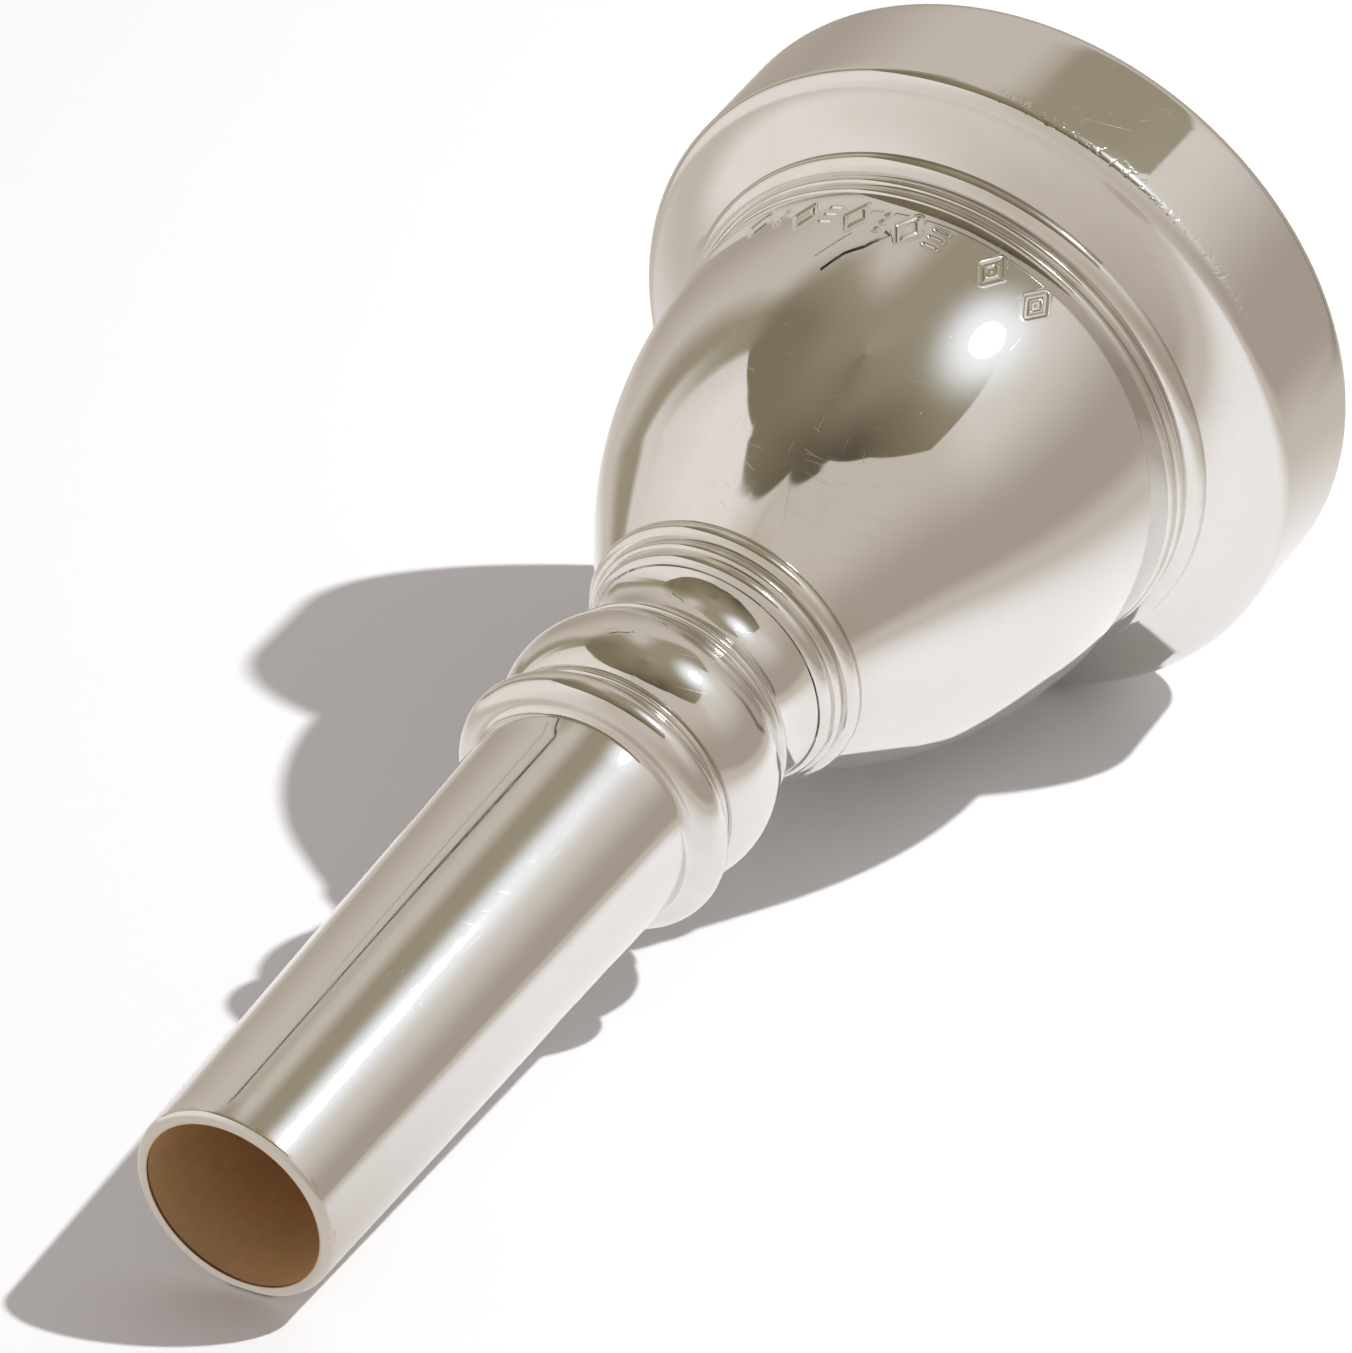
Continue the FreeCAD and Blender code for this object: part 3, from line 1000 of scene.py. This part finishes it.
@dataclass(frozen=True)
class LightTent:
    """The light tent round the table, which only the metal sees.

    Its walls and roof are painted by bearing (degrees from +X towards +Y), and wall_top is the height
    of the walls' upper edge above the horizon, both as seen from the middle of the cup. One wall is
    bright paper, and a narrow dark gap stands opposite to it.
    """

    centre: tuple[float, float, float] = (0.018, 0.0, 0.025)
    radius: float = 3.0
    height: float = 4.0
    skirt: tuple[float, float] = (0.03, 0.08)
    silver_share: float = 0.72
    wall_foot: tuple[tuple[float, Paint], ...] = (
        (-180, Paint.STONE), (-120, Paint.CLAY), (-36, Paint.CLAY), (-35, Paint.SHADE), (-31, Paint.SHADE),
        (-30, Paint.CLAY), (50, Paint.CLAY), (65, Paint.STONE), (72, Paint.OLIVE), (77, Paint.OLIVE),
        (78, Paint.CREAM), (95, Paint.PAPER), (130, Paint.PAPER), (180, Paint.STONE))
    wall_head: tuple[tuple[float, Paint], ...] = (
        (-180, Paint.STONE), (-100, Paint.STONE), (-85, Paint.CREAM), (-35, Paint.CREAM),
        (-20, Paint.STONE), (65, Paint.STONE), (73, Paint.OLIVE), (84, Paint.OLIVE), (85, Paint.CREAM),
        (100, Paint.PAPER), (135, Paint.PAPER), (180, Paint.STONE))
    roof_edge: tuple[tuple[float, Paint], ...] = (
        (-180, Paint.UMBER), (-135, Paint.UMBER), (-105, Paint.MOSS), (-80, Paint.OLIVE), (5, Paint.OLIVE),
        (25, Paint.STONE), (35, Paint.STONE), (50, Paint.OLIVE), (75, Paint.MOSS), (130, Paint.MOSS),
        (180, Paint.UMBER))
    roof_middle: tuple[tuple[float, Paint], ...] = (
        (-180, Paint.MOSS), (-45, Paint.OLIVE), (0, Paint.OLIVE), (180, Paint.MOSS))
    wall_top: tuple[tuple[float, float], ...] = (
        (-180, 66), (-150, 62), (-125, 56), (-100, 44), (-65, 48), (-35, 49), (-34.5, 41), (-10, 41),
        (10, 52), (45, 52), (70, 45), (84, 46), (100, 52), (125, 58), (150, 63), (180, 66))
    top_blur: tuple[tuple[float, float], ...] = (
        (-180, 0.2), (-35, 0.2), (-34, 1), (0, 4), (30, 1.5), (58, 8), (80, 6), (85, 0.2), (180, 0.2))

    def build(self) -> bpy.types.Object:
        """Make the tent as a closed drum with a skirt on the table, seen only in reflections.

        Returns:
            The tent.
        """
        bm = bmesh.new()
        low, high = -self.centre[2] + 0.0002, self.height - self.centre[2]
        rings = [(self.skirt[0], low), (self.skirt[1], low), (self.radius, low), (self.radius, high),
                 (0.001, high)]
        turns = 96
        loops = []
        for radius, level in rings:
            loops.append([bm.verts.new((radius * math.cos(2 * math.pi * n / turns),
                                        radius * math.sin(2 * math.pi * n / turns), level))
                          for n in range(turns)])
        for lower, upper in zip(loops, loops[1:]):
            for n in range(turns):
                after = (n + 1) % turns
                bm.faces.new((lower[n], lower[after], upper[after], upper[n]))
        mesh = bpy.data.meshes.new("light_tent")
        bm.to_mesh(mesh)
        bm.free()
        mesh.materials.append(self.material())
        tent = in_scene("light_tent", mesh)
        tent.location = self.centre
        only_mirrored(tent)
        return tent

    def material(self) -> bpy.types.Material:
        """The tent's painted walls, roof and skirt, as light.

        Returns:
            The material.
        """
        material, nodes, _ = new_material("tent_walls")
        nodes.tree.nodes.clear()
        place = nodes.add("TexCoord").outputs["Object"]
        ahead, aside, up = (nodes.part(place, axis) for axis in range(3))
        bearing = nodes.math("DIVIDE", nodes.math("ARCTAN2", aside, ahead), 2 * math.pi)
        bearing = nodes.math("ADD", bearing, 0.5)
        rise = nodes.part(nodes.vector("NORMALIZE", place), 2)
        height = nodes.math("DEGREES", nodes.math("ARCSINE", rise))

        def around(stops: tuple[tuple[float, Paint], ...]) -> bpy.types.NodeSocket:
            """A colour that changes with the bearing."""
            painted = [(spot, shown(*paint.value, self.silver_share)) for spot, paint in stops]
            return nodes.ramp(bearing, painted, -180, 180)

        wall = nodes.mix(nodes.spread(height, 6, 40), around(self.wall_foot), around(self.wall_head))
        roof = nodes.mix(nodes.spread(height, 60, 80), around(self.roof_edge), around(self.roof_middle))
        top = nodes.ramp(bearing, [(spot, (level / 90,) * 3) for spot, level in self.wall_top], -180, 180)
        above = nodes.math("SUBTRACT", height, nodes.math("MULTIPLY", top, 90))
        blur = nodes.ramp(bearing, [(spot, (level / 10,) * 3) for spot, level in self.top_blur], -180, 180)
        above = nodes.math("DIVIDE", above, nodes.math("MULTIPLY", blur, 10))
        colour = nodes.mix(nodes.spread(above, -1, 1), wall, roof)
        table_far = shown(*Paint.STONE.value, self.silver_share)
        table_near = shown(*Paint.CREAM.value, self.silver_share)
        table = nodes.mix(nodes.spread(height, -15, -38), table_far, table_near)
        colour = nodes.mix(nodes.spread(height, -6.5, -15.5), colour, table)
        out = nodes.vector("LENGTH", nodes.vector("MULTIPLY", place, (1.0, 1.0, 0.0)))
        cover = nodes.math("MAXIMUM", nodes.spread(out, *self.skirt), nodes.math("GREATER_THAN", up, 0.0))
        nodes.shine(colour, cover)
        return material


def heading(bearing: float, height: float) -> Vector:
    """The direction of a bearing from +X towards +Y and a height above the horizon, in degrees."""
    level = math.cos(math.radians(height))
    return Vector((level * math.cos(math.radians(bearing)), level * math.sin(math.radians(bearing)),
                   math.sin(math.radians(height))))


@dataclass(frozen=True)
class DarkTrim:
    """Dark cords that edge the tent's opening, seen only as thin lines in the metal."""

    reach: float = 0.7
    colour: tuple[float, float, float, float] = (0.02, 0.017, 0.014, 1.0)
    routes: tuple[tuple[float, tuple[tuple[float, float], ...]], ...] = (
        (0.002, ((55, 43), (45, 44))),
        (0.0075, ((57, 50), (49, 50.5), (43, 52.5), (38, 52.5))),
        (0.004, ((38, 52.5), (34, 52.5), (36, 50))),
    )

    def build(self, centre: Vector) -> None:
        """Hang the cords round a centre.

        Args:
            centre: The point that the bearings are taken from.
        """
        material, _, shader = new_material("dark_cord")
        shader.inputs["Base Color"].default_value = self.colour
        shader.inputs["Specular IOR Level"].default_value = 0.0
        for number, (thick, route) in enumerate(self.routes):
            curve = bpy.data.curves.new("dark_cord_%d" % number, "CURVE")
            curve.dimensions = "3D"
            curve.bevel_depth = thick
            line = curve.splines.new("POLY")
            line.points.add(len(route) - 1)
            for point, (bearing, height) in zip(line.points, route):
                point.co = (*(centre + heading(bearing, height) * self.reach), 1.0)
            curve.materials.append(material)
            cord = in_scene(curve.name, curve)
            only_mirrored(cord)


@dataclass(frozen=True)
class LampGlare:
    """The lamp's bright face and the glow round it, as the metal shows them."""

    bearing: float = -57.0
    height: float = 54.5
    reach: float = 0.72
    face: float = 0.066
    glow: float = 0.32
    glare: float = 9.0
    glow_colour: tuple[int, int, int] = (232, 236, 240)
    silver_share: float = 0.72

    def build(self, centre: Vector) -> bpy.types.Object:
        """Hang a round card that fades out at its edge.

        Args:
            centre: The point that the bearing is taken from.

        Returns:
            The card.
        """
        bm = bmesh.new()
        bmesh.ops.create_circle(bm, cap_ends=True, segments=64, radius=self.glow)
        mesh = bpy.data.meshes.new("lamp_glare")
        bm.to_mesh(mesh)
        bm.free()
        mesh.materials.append(self.material())
        card = in_scene("lamp_glare", mesh)
        towards = heading(self.bearing, self.height)
        card.location = centre + towards * self.reach
        card.rotation_euler = towards.to_track_quat("Z", "Y").to_euler()
        only_mirrored(card)
        return card

    def material(self) -> bpy.types.Material:
        """Light that is strongest in the middle, on a clear card.

        Returns:
            The material.
        """
        material, nodes, _ = new_material("lamp_glare")
        nodes.tree.nodes.clear()
        off = nodes.vector("LENGTH", nodes.add("TexCoord").outputs["Object"])
        level = nodes.spread(off, self.face, self.face * 0.75)
        colour = nodes.mix(level, shown(*self.glow_colour, self.silver_share), (self.glare,) * 3)
        cover = nodes.spread(off, self.glow, self.face)
        nodes.shine(colour, nodes.math("MULTIPLY", cover, cover))
        return material


def only_mirrored(thing: bpy.types.Object) -> None:
    """Let a stage object be seen only in reflections, and cast no light or shadow otherwise."""
    thing.visible_camera = False
    thing.visible_diffuse = False
    thing.visible_shadow = False
    thing.visible_transmission = False
    thing.visible_volume_scatter = False


@dataclass(frozen=True)
class Studio:
    """The white table, the lamp that throws the shadow and the soft fill round it."""

    table: float = 6.0
    table_white: float = 0.9
    table_rough: float = 0.9
    lamp_bearing: float = -55.5
    lamp_height: float = 52.5
    lamp_reach: float = 0.72
    lamp_size: float = 0.02
    lamp_power: float = 5.0
    lamp_tint: tuple[float, float, float] = (0.98, 1.0, 1.03)
    fill: float = 0.46
    fill_tint: tuple[float, float, float] = (1.0, 0.93, 0.905)

    def build(self, centre: Vector) -> None:
        """Make the table, the lamp and the world.

        Args:
            centre: The point that the lamp's bearing is taken from.
        """
        mesh = bpy.data.meshes.new("table")
        half = self.table / 2
        mesh.from_pydata([(-half, -half, 0), (half, -half, 0), (half, half, 0), (-half, half, 0)], [],
                         [(0, 1, 2, 3)])
        table = in_scene("table", mesh)
        material, _, shader = new_material("white_table")
        shader.inputs["Base Color"].default_value = (*(self.table_white,) * 3, 1.0)
        shader.inputs["Roughness"].default_value = self.table_rough
        shader.inputs["Specular IOR Level"].default_value = 0.0
        mesh.materials.append(material)
        data = bpy.data.lights.new("lamp", "AREA")
        data.shape = "DISK"
        data.size = self.lamp_size
        data.energy = self.lamp_power
        data.color = self.lamp_tint
        lamp = in_scene("lamp", data)
        towards = heading(self.lamp_bearing, self.lamp_height)
        lamp.location = centre + towards * self.lamp_reach
        lamp.rotation_euler = towards.to_track_quat("Z", "Y").to_euler()
        lamp.visible_glossy = False
        lamp.visible_camera = False
        world = bpy.data.worlds.new("studio")
        world.use_nodes = True
        nodes = Nodes(world.node_tree)
        ground = world.node_tree.nodes["Background"]
        seen = nodes.add("LightPath").outputs["Is Camera Ray"]
        level = nodes.math("ADD", self.fill, nodes.math("MULTIPLY", seen, 1.0 - self.fill))
        nodes.join(level, ground.inputs["Strength"])
        nodes.join(nodes.mix(seen, self.fill_tint, (1.0, 1.0, 1.0)), ground.inputs["Color"])
        bpy.context.scene.world = world
        scene = bpy.context.scene
        scene.view_settings.view_transform = "Standard"
        scene.view_settings.look = "None"


def main() -> None:
    """Build the mouthpiece, its camera and its studio."""
    logging.basicConfig(level=logging.INFO, format="%(name)s: %(message)s")
    sizes = MouthpieceSizes()
    lathe = Lathe.lying(sizes)
    brass = BrassBody(sizes, lathe, BareBrass(lathe))
    silver = SilverPlate(sizes, lathe, PolishedSilver(lathe))
    for part in (brass, silver):
        piece = part.build()
        log.info("%s: %d faces", piece.name, len(piece.data.polygons))
    ProductCamera().build()
    tent = LightTent()
    tent.build()
    centre = Vector(tent.centre)
    DarkTrim().build(centre)
    LampGlare().build(centre)
    Studio().build(centre)


if __name__ == "__main__":
    main()
